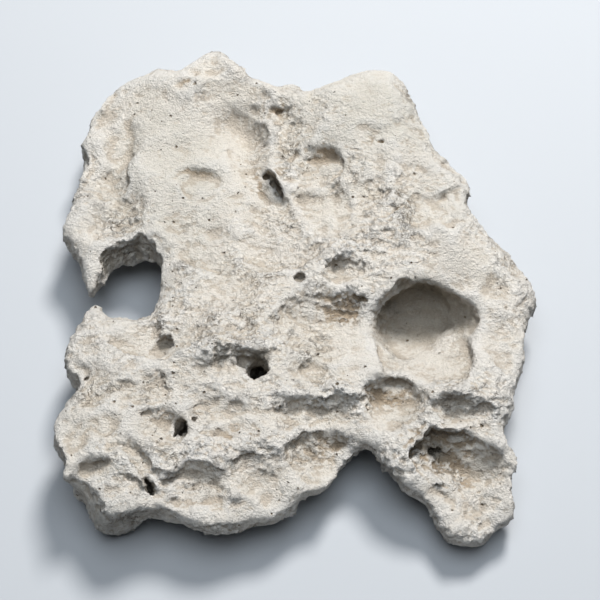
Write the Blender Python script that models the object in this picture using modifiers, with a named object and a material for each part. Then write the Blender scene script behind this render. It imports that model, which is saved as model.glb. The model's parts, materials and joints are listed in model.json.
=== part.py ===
"""Holey limestone: one slab-like water-worn stone with scoops, pits and through holes.

Units are metres and +Z is up. The stone rests on three low feet at Z = 0, under the
middle of its bounding box. +Y points to its jagged back edge, -X to the bitten left side.
The plan outline makes a slab, height functions shape its two faces, and tilted
ellipsoids carve what the water dissolved.
"""

import math
import random
from collections import namedtuple

import bmesh
import bpy
from mathutils import Euler, Matrix, Vector, kdtree, noise

MM = 0.001

# Driving dimensions, in millimetres
SLAB_HEIGHT = 40.0
BASE_TOP = 41.0
BASE_UNDERSIDE = 5.0
EDGE_ROUND_TOP = 14.0
EDGE_ROUND_UNDER = 20.0
EDGE_WAIST_HIGH = 0.62
EDGE_WAIST_LOW = 0.40
CRISP_ROUND_TOP = 5.0
CRISP_WAIST_HIGH = 0.88
CRISP_EDGE_FROM_Y = -45.0                   # the edge is crisp in front of this
CRISP_EDGE_FULL_Y = -75.0
LUMP_SIZE = 26.0
LUMP_HEIGHT = 1.6
GRIT_SIZE = 9.0
GRIT_HEIGHT = 0.7
SCALLOP_SIZE = 17.0
SCALLOP_SWAY = 7.0
SWAY_OFFSETS = (0, 20, 40)                  # one noise for each of X, Y and Z
SCALLOP_CUP = 1.9
SCALLOP_LEVEL = 0.5
TOP_SCALLOP_DEPTH = 2.0
SIDE_SCALLOP_DEPTH = 3.2
SLAB_VOXEL = 2.2
SURFACE_VOXEL = 1.9
SOFTENING = 2
TRIANGLES_KEPT = 0.105
OUTLINE_STEP = 2.0
WELD = 0.01
SEED = 11

# Plan outline, clockwise from the back-left peak: back edge, right side, leg, bay,
# front edge, left side with the bite between two horns.
OUTLINE = [
    (-42, 141), (-36, 138), (-30, 130), (-24, 121), (-10, 119), (-2, 122), (2, 116),
    (9, 118), (17, 122), (27, 127), (38, 126), (49, 125), (53, 116), (57, 101),
    (58, 91), (66, 77), (78, 67), (81, 60), (79, 49), (90, 35), (99, 23), (107, 9),
    (108, 2), (102, -6), (101, -16), (101, -25), (96, -38), (92, -52), (89, -61),
    (94, -73), (93, -82), (94, -91), (90, -97), (84, -100), (79, -105), (72, -105),
    (62, -99), (53, -90), (44, -85), (38, -78), (32, -71), (27, -65), (21, -76),
    (13, -86), (3, -87), (-4, -95), (-15, -98), (-27, -103), (-40, -102), (-52, -99),
    (-63, -95), (-72, -99), (-82, -101), (-92, -93), (-102, -89), (-101, -79),
    (-108, -68), (-104, -54), (-103, -44), (-92, -41), (-103, -36), (-107, -27),
    (-105, -17), (-99, -7), (-95, 4), (-93, 1), (-87, -5), (-77, -7), (-68, -4),
    (-64, 2), (-63, 10), (-65, 20), (-69, 27), (-76, 29), (-84, 28), (-90, 21),
    (-97, 6), (-101, 18), (-105, 30), (-113, 38), (-110, 50), (-107, 60), (-106, 75),
    (-108, 88), (-104, 102), (-96, 119), (-88, 126), (-79, 131), (-69, 132),
    (-58, 130), (-51, 133),
]

# A swell raises the top by so much over an ellipse; a negative one lowers it.
Swell = namedtuple("Swell", "x y across along turn rise")
TOP_SWELLS = [
    Swell(-36, 128, 34, 20, -20, 13),   # back-left peak
    Swell(34, 96, 44, 40, 0, 15),       # right block
    Swell(70, 44, 34, 30, 0, 7),        # right shoulder
    Swell(22, 14, 46, 20, 35, 8),       # ridge above the middle bowl
    Swell(-40, -22, 34, 16, 20, 5),     # ridge towards the left hole
    Swell(-80, -62, 30, 26, 0, 4),      # left shelf
    Swell(-92, 60, 14, 60, 0, -5),      # left column, lower than the plane beside it
    Swell(-30, 84, 24, 34, 10, -3),     # plane under the back-left peak
    Swell(66, -40, 34, 22, 0, 3),       # brow over the leg
    Swell(-14, -98, 46, 22, 0, -12),    # front edge
    Swell(22, -80, 24, 18, -35, -9),    # lip of the bay
    Swell(78, -100, 30, 34, 0, -22),    # leg
]
UNDERSIDE_SWELLS = [
    Swell(-74, 6, 40, 36, 0, 13),       # under the left hole
    Swell(20, -84, 60, 26, 0, 10),      # under the bay and the front edge
    Swell(60, 30, 50, 60, 0, 7),        # under the right block
    Swell(-20, 20, 50, 50, 0, 5),
]

# A foot is a flat patch at Z = 0 where the stone touches what it rests on.
Foot = namedtuple("Foot", "x y radius")
FEET = [Foot(-84, -82, 26), Foot(76, -90, 22), Foot(6, 96, 34)]
FOOT_DEPTH = 2.0
FOOT_FLATNESS = 1.6
HORNS = Foot(-98, -4, 44)                   # thin horns, where the surface stays calm

# A scoop is an ellipsoid cut: where its opening is, how wide (X) and long (Y) that is,
# how deep it goes, how far its axis leans back towards +Y, and its turn about Z.
Scoop = namedtuple("Scoop", "x y wide long deep lean turn")
BIG_PIT = [
    Scoop(54, -12, 47, 38, 27, 34, 0),
    Scoop(56, -2, 26, 26, 20, 30, 0),       # its pointed back
    Scoop(72, -11, 20, 24, 14, 20, -25),    # its right lobe
]
DEEP_HOLES = [
    Scoop(-19, -35, 11, 12, 30, 8, 0),      # hole in the middle
    Scoop(-28, -33, 26, 11, 9, 30, 12),     # its groove to the left
    Scoop(-51, -63, 7, 11, 24, 5, 30),      # hole on the left shelf
    Scoop(-58, -64, 25, 15, 7, 25, -8),     # the pit around it
    Scoop(-64, -89, 6, 13, 16, 10, 30),     # hole in the diagonal groove
    Scoop(-62, -24, 14, 10, 7, 25, -40),    # small pit right of the left hole
    Scoop(58, -65, 8, 7, 12, 35, 0),        # black corner of the leg's bowl
]
SLOT = [
    Scoop(-25, 81, 46, 22, 9, 42, -84),     # beside the ridge, leaning under it
    Scoop(-16, 57, 26, 10, 15, 25, -62),
    Scoop(-8, 41, 32, 12, 8, 35, -66),
]
BOWLS = [
    Scoop(14, -9, 44, 40, 8, 25, 0),       # middle bowl
    Scoop(40, -50, 34, 26, 10, 32, 0),      # bowl below the big pit
    Scoop(71, -53, 32, 15, 10, 32, -6),      # dark wall over the leg
    Scoop(70, -76, 48, 30, 10, 30, -15),     # leg's bowl
    Scoop(9, -72, 36, 26, 8, 34, 14),       # scoop that slopes to the bay
    Scoop(-46, -87, 34, 20, 10, 30, 6),     # scoop on the front edge
    Scoop(-16, -79, 34, 26, 5, 25, 0),
    Scoop(8, -54, 46, 14, 7, 30, 4),        # ledge wall
    Scoop(-46, 63, 22, 26, 6, 28, 0),       # crescent on the left plane
    Scoop(-43, 35, 26, 30, 3, 25, 0),
    Scoop(9, 67, 26, 20, 7, 28, 0),
    Scoop(1, 51, 16, 16, 4, 25, 0),
    Scoop(36, 45, 24, 18, 6, 28, 0),
    Scoop(20, 11, 22, 14, 7, 30, 10),        # steep patch on the ridge
    Scoop(-32, 95, 30, 30, 8, 20, 30),      # hollow under the back-left peak
    Scoop(-91, 65, 20, 20, 6, 28, 0),
    Scoop(-88, 89, 20, 24, 4, 15, 0),
    Scoop(-86, 77, 8, 60, 4, 0, -4),        # groove along the left column
    Scoop(-79, 45, 12, 18, 6, 20, 0),
    Scoop(66, 41, 9, 26, 7, 10, 34),        # diagonal slit on the right
    Scoop(57, 41, 22, 20, 5, 28, 0),
    Scoop(-12, 97, 12, 12, 5, 30, 0),
    Scoop(-56, 115, 12, 9, 4, 30, 0),
    Scoop(5, -35, 22, 14, 4, 30, 0),
    Scoop(-67, -81, 10, 32, 6, 5, 36),      # diagonal groove on the left shelf
    Scoop(-84, -61, 15, 15, 4, 28, 0),
    Scoop(-92, -47, 14, 16, 4, 25, 0),
    Scoop(-98, -65, 16, 22, 4, 20, 0),
    Scoop(-66, -43, 24, 18, 3, 25, 0),
    Scoop(-36, -55, 30, 22, 5, 28, 0),
    Scoop(-90, -87, 22, 14, 6, 35, 25),
    Scoop(90, 7, 18, 18, 4, 25, 0),
    Scoop(92, -25, 18, 18, 3, 20, 0),
    Scoop(74, -93, 12, 9, 4, 30, 0),
]

# Smaller hollows scattered over the stone. A pair is a least and a greatest value.
Spread = namedtuple("Spread", "least most")
TOP_SCALLOPS = 45
TOP_SCALLOP_X = Spread(-110, 110)
TOP_SCALLOP_Y = Spread(-105, 140)
TOP_SCALLOP_WIDE = Spread(12, 30)
TOP_SCALLOP_LONG = Spread(0.6, 1.1)         # times its width
TOP_SCALLOP_DEEP = Spread(1.2, 3.0)
TOP_SCALLOP_LEAN = Spread(10, 30)
TOP_SCALLOP_TURN = Spread(-30, 30)
SIDE_SCOOPS = 34
SIDE_RADIUS = Spread(9, 19)
SIDE_OUTWARD = Spread(0.70, 0.90)           # its centre outside the outline, times its radius
SIDE_LEAST_OUTWARD = 0.6
SIDE_LEVEL = Spread(8, 30)
SIDE_THICK = Spread(0.5, 1.0)               # times its radius
SIDE_TILT = Spread(-0.4, 0.4)
UNDERSIDE_SCOOPS = 26
UNDERSIDE_X = Spread(-100, 100)
UNDERSIDE_Y = Spread(-100, 130)
UNDERSIDE_RADIUS = Spread(10, 20)
UNDERSIDE_LONG = Spread(0.7, 1.2)           # times its radius
UNDERSIDE_THICK = 0.6
UNDERSIDE_DEEP = Spread(3, 7)
KEPT_CLEAR = 22                             # solid stone around feet, pits and holes
CUTTER_ROUGHNESS = 0.22
LEAST_UPRIGHT = 0.35                        # a cutter's height, times its opening
CUTTER_BUMPS = 1.6
CUTTER_VARIETY = 7
SPHERE_SEGMENTS = 20
SPHERE_RINGS = 12
GROUND_SIZE = (500, 500, 100)

LIMESTONE_COLOR = (0.63, 0.58, 0.50, 1.0)
LIMESTONE_ROUGHNESS = 0.95


def clear_scene():
    for obj in list(bpy.data.objects):
        bpy.data.objects.remove(obj, do_unlink=True)


def new_collection(name, hidden):
    collection = bpy.data.collections.new(name)
    bpy.context.scene.collection.children.link(collection)
    collection.hide_render = hidden
    return collection


def limestone_material():
    material = bpy.data.materials.new("limestone")
    material.use_nodes = True
    shader = material.node_tree.nodes["Principled BSDF"]
    shader.inputs["Base Color"].default_value = LIMESTONE_COLOR
    shader.inputs["Roughness"].default_value = LIMESTONE_ROUGHNESS
    shader.inputs["Metallic"].default_value = 0.0
    material.diffuse_color = LIMESTONE_COLOR
    return material


def swell_height(swell, x, y):
    """Smooth hill that fades out at about twice the swell's radii."""
    turn = math.radians(swell.turn)
    across = (x - swell.x) * math.cos(turn) + (y - swell.y) * math.sin(turn)
    along = (y - swell.y) * math.cos(turn) - (x - swell.x) * math.sin(turn)
    reach = (across / swell.across) ** 2 + (along / swell.along) ** 2
    return swell.rise * math.exp(-reach)


def foot_weight(x, y):
    """1 in the middle of a foot, 0 beyond its radius."""
    weight = 0.0
    for foot in FEET:
        near = 1 - math.hypot(x - foot.x, y - foot.y) / foot.radius
        near = min(1.0, FOOT_FLATNESS * max(0.0, near))
        weight = max(weight, near * near * (3 - 2 * near))
    return weight


def lumps(x, y, level):
    """Uneven rise and fall of a face, different for each level."""
    broad = noise.noise(Vector((x / LUMP_SIZE, y / LUMP_SIZE, level)))
    fine = noise.noise(Vector((x / GRIT_SIZE, y / GRIT_SIZE, level + 5)))
    return LUMP_HEIGHT * broad + GRIT_HEIGHT * fine


def top_height(x, y):
    swells = sum(swell_height(swell, x, y) for swell in TOP_SWELLS)
    return BASE_TOP + swells + lumps(x, y, 1)


def underside_height(x, y):
    swells = sum(swell_height(swell, x, y) for swell in UNDERSIDE_SWELLS)
    free = BASE_UNDERSIDE + swells + lumps(x, y, 9)
    weight = foot_weight(x, y)
    return free * (1 - weight) - FOOT_DEPTH * weight


def edge_curve(distance, radius):
    """0 at the outline, 1 once a quarter round of this radius has levelled out."""
    inward = min(distance / radius, 1.0)
    return math.sqrt(1 - (1 - inward) ** 2)


def swayed(place):
    """The place moved a little by smooth noise, so that cells lose their regular shape."""
    near = place / SCALLOP_SIZE
    sway = [noise.noise(near + Vector((offset, 0, 0))) for offset in SWAY_OFFSETS]
    return near + Vector(sway) * SCALLOP_SWAY / SCALLOP_SIZE


def scallop_rise(place, facing_up):
    """Cupped cells with crests between them, as water leaves on limestone."""
    nearest = noise.voronoi(swayed(place))[0][0]
    depth = SIDE_SCALLOP_DEPTH + (TOP_SCALLOP_DEPTH - SIDE_SCALLOP_DEPTH) * facing_up
    from_horns = math.hypot(place.x - HORNS.x, place.y - HORNS.y) / HORNS.radius
    return min(1.0, from_horns) * depth * (SCALLOP_CUP * nearest**2 - SCALLOP_LEVEL)


def outline_points():
    """The outline with a point about every OUTLINE_STEP, to measure distances from."""
    points = []
    for start, end in zip(OUTLINE, OUTLINE[1:] + OUTLINE[:1]):
        steps = max(1, round(math.dist(start, end) / OUTLINE_STEP))
        for step in range(steps):
            part = step / steps
            points.append(Vector(start).lerp(Vector(end), part).to_3d())
    return points


def outline_tree():
    points = outline_points()
    tree = kdtree.KDTree(len(points))
    for index, point in enumerate(points):
        tree.insert(point, index)
    tree.balance()
    return tree


def outline_slab(collection):
    """A slab of the plan outline, from Z = 0 to SLAB_HEIGHT, as one closed mesh."""
    curve = bpy.data.curves.new("outline", "CURVE")
    curve.dimensions = "2D"
    curve.fill_mode = "BOTH"
    curve.extrude = SLAB_HEIGHT * MM / 2
    spline = curve.splines.new("POLY")
    spline.points.add(len(OUTLINE) - 1)
    for point, (x, y) in zip(spline.points, OUTLINE):
        point.co = (x * MM, y * MM, 0, 1)
    spline.use_cyclic_u = True
    guide = bpy.data.objects.new("outline", curve)
    guide.location.z = SLAB_HEIGHT * MM / 2
    collection.objects.link(guide)
    return mesh_from(guide, "rock", collection)


def mesh_from(guide, name, collection):
    """Turns a curve object, with its modifiers, into a welded mesh object."""
    bpy.context.view_layer.update()
    graph = bpy.context.evaluated_depsgraph_get()
    mesh = bpy.data.meshes.new_from_object(guide.evaluated_get(graph))
    mesh.transform(guide.matrix_world)
    weld(mesh)
    result = bpy.data.objects.new(name, mesh)
    collection.objects.link(result)
    bpy.data.objects.remove(guide, do_unlink=True)
    return result


def weld(mesh):
    bm = bmesh.new()
    bm.from_mesh(mesh)
    bmesh.ops.remove_doubles(bm, verts=bm.verts, dist=WELD * MM)
    bmesh.ops.recalc_face_normals(bm, faces=bm.faces)
    bm.to_mesh(mesh)
    bm.free()


def apply_modifiers(obj):
    """Makes the evaluated mesh the object's own, so that its points can be moved."""
    bpy.context.view_layer.update()
    graph = bpy.context.evaluated_depsgraph_get()
    mesh = bpy.data.meshes.new_from_object(obj.evaluated_get(graph))
    obj.modifiers.clear()
    obj.data = mesh


def crispness(y):
    """How crisp the top edge is here: 1 along the front, 0 behind it."""
    part = (CRISP_EDGE_FROM_Y - y) / (CRISP_EDGE_FROM_Y - CRISP_EDGE_FULL_Y)
    return min(1.0, max(0.0, part))


def shape_faces(obj):
    """Lifts the slab's two faces to their heights and rounds the edge between them."""
    tree = outline_tree()
    for vertex in obj.data.vertices:
        x, y, z = vertex.co / MM
        level = min(1.0, max(0.0, z / SLAB_HEIGHT))
        distance = tree.find((x, y, 0))[2]
        high = top_height(x, y)
        low = underside_height(x, y)
        crisp = crispness(y)
        top_round = EDGE_ROUND_TOP + (CRISP_ROUND_TOP - EDGE_ROUND_TOP) * crisp
        waist_high = EDGE_WAIST_HIGH + (CRISP_WAIST_HIGH - EDGE_WAIST_HIGH) * crisp
        waist_top = low + (high - low) * waist_high
        waist_under = low + (high - low) * EDGE_WAIST_LOW
        top = waist_top + (high - waist_top) * edge_curve(distance, top_round)
        under = waist_under + (low - waist_under) * edge_curve(distance, EDGE_ROUND_UNDER)
        vertex.co.z = (under + (top - under) * level) * MM


def cup_surface(obj):
    """Moves every point along its normal, to crests and cups all over the stone."""
    mesh = obj.data
    moves = []
    for vertex, normal in zip(mesh.vertices, mesh.vertex_normals):
        facing_up = min(1.0, max(0.0, normal.vector.z))
        rise = scallop_rise(vertex.co / MM, facing_up)
        moves.append(normal.vector * rise * MM)
    for vertex, move in zip(mesh.vertices, moves):
        vertex.co += move


def ellipsoid_cutter(name, collection, radii, place, turn):
    """A rough ellipsoid: radii and place in millimetres, turn as a rotation matrix."""
    bm = bmesh.new()
    bmesh.ops.create_uvsphere(
        bm, u_segments=SPHERE_SEGMENTS, v_segments=SPHERE_RINGS, radius=1
    )
    offset = Vector(place) / CUTTER_VARIETY
    for vertex in bm.verts:
        bump = noise.noise(vertex.co * CUTTER_BUMPS + offset)
        vertex.co *= 1 + CUTTER_ROUGHNESS * bump
        vertex.co = Vector(a * b for a, b in zip(vertex.co, radii)) * MM
    mesh = bpy.data.meshes.new(name)
    bm.to_mesh(mesh)
    bm.free()
    cutter = bpy.data.objects.new(name, mesh)
    cutter.matrix_world = Matrix.Translation(Vector(place) * MM) @ turn.to_4x4()
    cutter.hide_render = True
    cutter.display_type = "WIRE"
    collection.objects.link(cutter)
    return cutter


def scoop_cutter(scoop, name, collection):
    """An ellipsoid whose cap below the top surface is as wide, long and deep as stated."""
    upright = max(scoop.deep, LEAST_UPRIGHT * min(scoop.wide, scoop.long))
    above = upright - scoop.deep
    opening = math.sqrt(1 - (above / upright) ** 2)
    radii = (scoop.wide / 2 / opening, scoop.long / 2 / opening, upright)
    turn = Euler((0, 0, math.radians(scoop.turn))).to_matrix()
    turn = turn @ Euler((math.radians(scoop.lean), 0, 0)).to_matrix()
    surface = Vector((scoop.x, scoop.y, top_height(scoop.x, scoop.y)))
    place = surface + turn @ Vector((0, 0, above))
    return ellipsoid_cutter(name, collection, radii, place, turn)


def cut_scoops(collection):
    groups = {"pit": BIG_PIT, "hole": DEEP_HOLES, "slot": SLOT, "bowl": BOWLS}
    for name, scoops in groups.items():
        for number, scoop in enumerate(scoops, 1):
            scoop_cutter(scoop, f"{name} {number}", collection)


def cut_scallops(collection, dice):
    """Shallow overlapping scallops all over the top."""
    for number in range(TOP_SCALLOPS):
        x = dice.uniform(*TOP_SCALLOP_X)
        y = dice.uniform(*TOP_SCALLOP_Y)
        wide = dice.uniform(*TOP_SCALLOP_WIDE)
        long = wide * dice.uniform(*TOP_SCALLOP_LONG)
        deep = dice.uniform(*TOP_SCALLOP_DEEP)
        lean = dice.uniform(*TOP_SCALLOP_LEAN)
        turn = dice.uniform(*TOP_SCALLOP_TURN)
        scallop = Scoop(x, y, wide, long, deep, lean, turn)
        scoop_cutter(scallop, f"scallop {number + 1}", collection)


def suits_side_scoop(here, place, radius, tree):
    """No side hollow at a foot or a horn, nor one that would reach the bay's other wall."""
    from_horns = math.hypot(here.x - HORNS.x, here.y - HORNS.y)
    from_outline = tree.find((place.x, place.y, 0))[2]
    clear = from_outline > SIDE_LEAST_OUTWARD * radius
    return clear and from_horns > HORNS.radius and foot_weight(here.x, here.y) == 0


def cut_sides(collection, dice):
    """Hollows all round the edge, each centred outside the outline."""
    points = outline_points()
    tree = outline_tree()
    for number in range(SIDE_SCOOPS):
        at = (number + dice.random()) * len(points) / SIDE_SCOOPS
        here = points[int(at) % len(points)]
        ahead = points[(int(at) + 1) % len(points)]
        outward = (ahead - here).cross(Vector((0, 0, -1))).normalized()
        radius = dice.uniform(*SIDE_RADIUS)
        place = here + outward * radius * dice.uniform(*SIDE_OUTWARD)
        place.z = dice.uniform(*SIDE_LEVEL)
        radii = (radius, radius, radius * dice.uniform(*SIDE_THICK))
        turn = Euler((dice.uniform(*SIDE_TILT), 0, dice.uniform(0, math.tau))).to_matrix()
        if suits_side_scoop(here, place, radius, tree):
            ellipsoid_cutter(f"side {number + 1}", collection, radii, place, turn)


def cut_underside(collection, dice):
    """Shallow hollows under the stone, clear of its feet."""
    number = 0
    while number < UNDERSIDE_SCOOPS:
        x = dice.uniform(*UNDERSIDE_X)
        y = dice.uniform(*UNDERSIDE_Y)
        radius = dice.uniform(*UNDERSIDE_RADIUS)
        solid = [*FEET, *BIG_PIT, *DEEP_HOLES]
        if any(math.hypot(x - spot.x, y - spot.y) < radius + KEPT_CLEAR for spot in solid):
            continue
        number += 1
        long = radius * dice.uniform(*UNDERSIDE_LONG)
        radii = (radius, long, radius * UNDERSIDE_THICK)
        depth = dice.uniform(*UNDERSIDE_DEEP)
        place = (x, y, underside_height(x, y) - radii[2] + depth)
        turn = Euler((0, 0, dice.uniform(0, math.tau))).to_matrix()
        ellipsoid_cutter(f"underside {number}", collection, radii, place, turn)


def ground_cutter(collection):
    """A block whose top is the plane Z = 0."""
    bm = bmesh.new()
    bmesh.ops.create_cube(bm, size=1)
    bmesh.ops.scale(bm, vec=Vector(GROUND_SIZE) * MM, verts=bm.verts)
    mesh = bpy.data.meshes.new("ground")
    bm.to_mesh(mesh)
    bm.free()
    cutter = bpy.data.objects.new("ground", mesh)
    cutter.location.z = -GROUND_SIZE[2] / 2 * MM
    cutter.hide_render = True
    cutter.display_type = "WIRE"
    collection.objects.link(cutter)
    return cutter


def center_on_origin(obj, others):
    """Hangs everything on an empty, placed so that the stone's bounding box is centred."""
    root = bpy.data.objects.new("holey rock origin", None)
    bpy.context.scene.collection.objects.link(root)
    for child in [obj, *others]:
        child.parent = root
    bpy.context.view_layer.update()
    corners = [Vector(corner) for corner in evaluated_box(obj)]
    middle = sum(corners, Vector()) / len(corners)
    root.location = (-middle.x, -middle.y, 0)


def evaluated_box(obj):
    graph = bpy.context.evaluated_depsgraph_get()
    return obj.evaluated_get(graph).bound_box


def add_voxel_remesh(obj, name, size):
    remesh = obj.modifiers.new(name, "REMESH")
    remesh.mode = "VOXEL"
    remesh.voxel_size = size * MM


def add_finish(obj, scoops, ground):
    """The modifiers that carve the shaped slab and thin its mesh out."""
    carve = obj.modifiers.new("carve scoops", "BOOLEAN")
    carve.operation = "DIFFERENCE"
    carve.operand_type = "COLLECTION"
    carve.collection = scoops
    carve.solver = "EXACT"
    add_voxel_remesh(obj, "even surface", SURFACE_VOXEL)
    soften = obj.modifiers.new("soften", "SMOOTH")
    soften.factor = 0.5
    soften.iterations = SOFTENING
    thin = obj.modifiers.new("thin out", "DECIMATE")
    thin.ratio = TRIANGLES_KEPT
    flat = obj.modifiers.new("flat feet", "BOOLEAN")
    flat.operation = "DIFFERENCE"
    flat.object = ground
    flat.solver = "EXACT"


def main():
    clear_scene()
    parts = new_collection("holey rock", hidden=False)
    scoops = new_collection("scoop cutters", hidden=True)
    helpers = new_collection("ground cutter", hidden=True)
    rock = outline_slab(parts)
    add_voxel_remesh(rock, "slab grid", SLAB_VOXEL)
    apply_modifiers(rock)
    shape_faces(rock)
    add_voxel_remesh(rock, "even grid", SLAB_VOXEL)
    apply_modifiers(rock)
    cup_surface(rock)
    cut_scoops(scoops)
    dice = random.Random(SEED)
    cut_scallops(scoops, dice)
    cut_sides(scoops, dice)
    cut_underside(scoops, dice)
    add_finish(rock, scoops, ground_cutter(helpers))
    rock.data.materials.append(limestone_material())
    center_on_origin(rock, [*scoops.objects, *helpers.objects])


main()
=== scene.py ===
"""Holey limestone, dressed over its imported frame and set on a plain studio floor.

The stone of the frame is smoothed, its rims and floors are shifted, dishes are pressed in
and holes cut, and it is weathered and given a chalky limestone. The lists hold millimetres
of the stone's own plan, whose origin lies at PLAN_ORIGIN in the frame, and degrees.
"""

import json
import math
from collections import namedtuple

import bmesh
import bpy
import numpy as np
from bpy.props import FloatProperty, FloatVectorProperty, IntProperty, PointerProperty
from mathutils import Euler, Matrix, Vector, noise
from mathutils.bvhtree import BVHTree

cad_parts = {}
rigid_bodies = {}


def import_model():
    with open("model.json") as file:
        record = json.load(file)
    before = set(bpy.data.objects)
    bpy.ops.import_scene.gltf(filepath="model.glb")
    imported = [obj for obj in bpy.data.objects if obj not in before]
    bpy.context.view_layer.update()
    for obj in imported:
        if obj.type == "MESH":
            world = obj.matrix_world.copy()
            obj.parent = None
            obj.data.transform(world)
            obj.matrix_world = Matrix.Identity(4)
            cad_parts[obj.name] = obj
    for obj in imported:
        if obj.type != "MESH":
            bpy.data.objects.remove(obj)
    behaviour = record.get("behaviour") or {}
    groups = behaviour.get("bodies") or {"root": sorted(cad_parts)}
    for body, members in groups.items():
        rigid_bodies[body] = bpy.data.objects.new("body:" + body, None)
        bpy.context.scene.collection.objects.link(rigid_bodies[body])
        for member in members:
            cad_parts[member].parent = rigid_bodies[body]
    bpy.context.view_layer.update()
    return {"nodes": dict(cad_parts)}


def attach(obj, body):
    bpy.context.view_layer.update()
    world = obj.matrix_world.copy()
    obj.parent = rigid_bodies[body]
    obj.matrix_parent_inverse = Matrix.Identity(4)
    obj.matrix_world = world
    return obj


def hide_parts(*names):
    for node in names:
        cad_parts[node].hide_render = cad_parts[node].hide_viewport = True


bl_info = {
    "name": "Holey Limestone",
    "version": (1, 0, 0),
    "blender": (4, 5, 0),
    "location": "View3D > Sidebar > Holey Limestone",
    "description": "Carves, weathers and lights a water-worn limestone",
    "category": "Object",
}

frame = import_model()

MM = 0.001
NODE = "rock"
BODY = "root"
PIECE = "limestone_rock"
PLAN_ORIGIN = Vector((1.2, -16.8, 0.0))

# A cut is an ellipsoid taken out: its middle, its size along X, Y and Z, how far its top
# leans towards -Y, and its turn about Z.
Cut = namedtuple("Cut", "x y z wide long high lean turn")
CUTS = [Cut(*row) for row in (
    (52, -9, 47, 38, 32, 56, 0, 0),  # mouth of the deep pit
    (53, -4, 30, 38, 27, 21, 14, 0),  # cut back under its rim
    (56, -27, 39, 44, 54, 15, -27, 0),  # its floor, rising to the front
    (56, 2, 32, 23, 18, 20, 14, 0),  # its back
    (75, -11, 40, 11, 18, 22, 6, -16),  # its right lobe
    (-17, -31, 24, 11.5, 11, 28, 20, -12),  # hole in the middle
    (-51, -61, 27, 3.2, 15, 30, 6, -42),  # slit on the left shelf
    (-65, -87, 29, 4, 9, 22, 10, 24),  # slit in the diagonal ledge
    (33, -69, 4, 20, 20, 46, 0, 0),  # under the top of the bay
    (0, 8, 46, 6, 5, 12, 24, 0),  # small hole over the middle bowl
    (-62, -22, 36, 15, 8, 9, 34, 32),  # small pit right of the left hole
    (-102, -42, 28, 15, 2.6, 30, 0, 12),  # nick in the left edge
    (-77, 20, 38, 30, 29, 80, 0, 0),  # upright wall behind the left hole
)]

# A pock is a small rough hole sunk into the surface: its middle, size, depth, lean and turn.
Pock = namedtuple("Pock", "x y wide long deep lean turn")
POCKS = [Pock(*row) for row in (
    # the slot
    (-16, 66, 3.4, 4.6, 5, 28, 24), (-13, 61, 2.6, 4.6, 4, 26, 28), (-11, 56, 2, 3, 3, 24, 24),
    # the back
    (38, 77, 4.6, 2, 2.6, 25, -10), (34, 78, 2, 1.6, 2, 25, 0), (-51, 115, 3, 2, 3, 25, 20),
    (-25, -31, 8, 6, 4, 20, -8),  # lead-in of the middle hole
    (62, -83, 11, 2.4, 3, 30, -18),  # crescent on the leg
    (-36, 58, 4, 1.6, 2, 25, -30),  # by the left plane's crescent
    (-10, 101, 5, 2.4, 2.8, 30, 25),  # head of the back ridge
    (-94, -38, 4, 2.2, 4, 20, 30),  # by the nick in the left edge
    # the leg's bowl
    (59, -67, 8, 4, 5, 30, 10), (70, -84, 3, 2, 2.2, 20, 0), (78, -84, 2.4, 1.8, 2, 20, 0),
    (44, -39, 16, 4.5, 5, 25, -8),  # overhang below the deep pit
    (27, -1, 9, 2.4, 3, 20, -14),  # head of the middle bowl
    (2, 78, 2.4, 1.6, 2.2, 25, 0), (11, 78, 3.4, 1.6, 2.2, 25, -20),  # back right crescent
    (-66, -57, 9, 2.2, 2.6, 20, 12),  # crack over the dish of the slit
    (-46, -58, 3.6, 2, 5, 10, 24),  # end of the shelf's slit
)]

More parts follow.
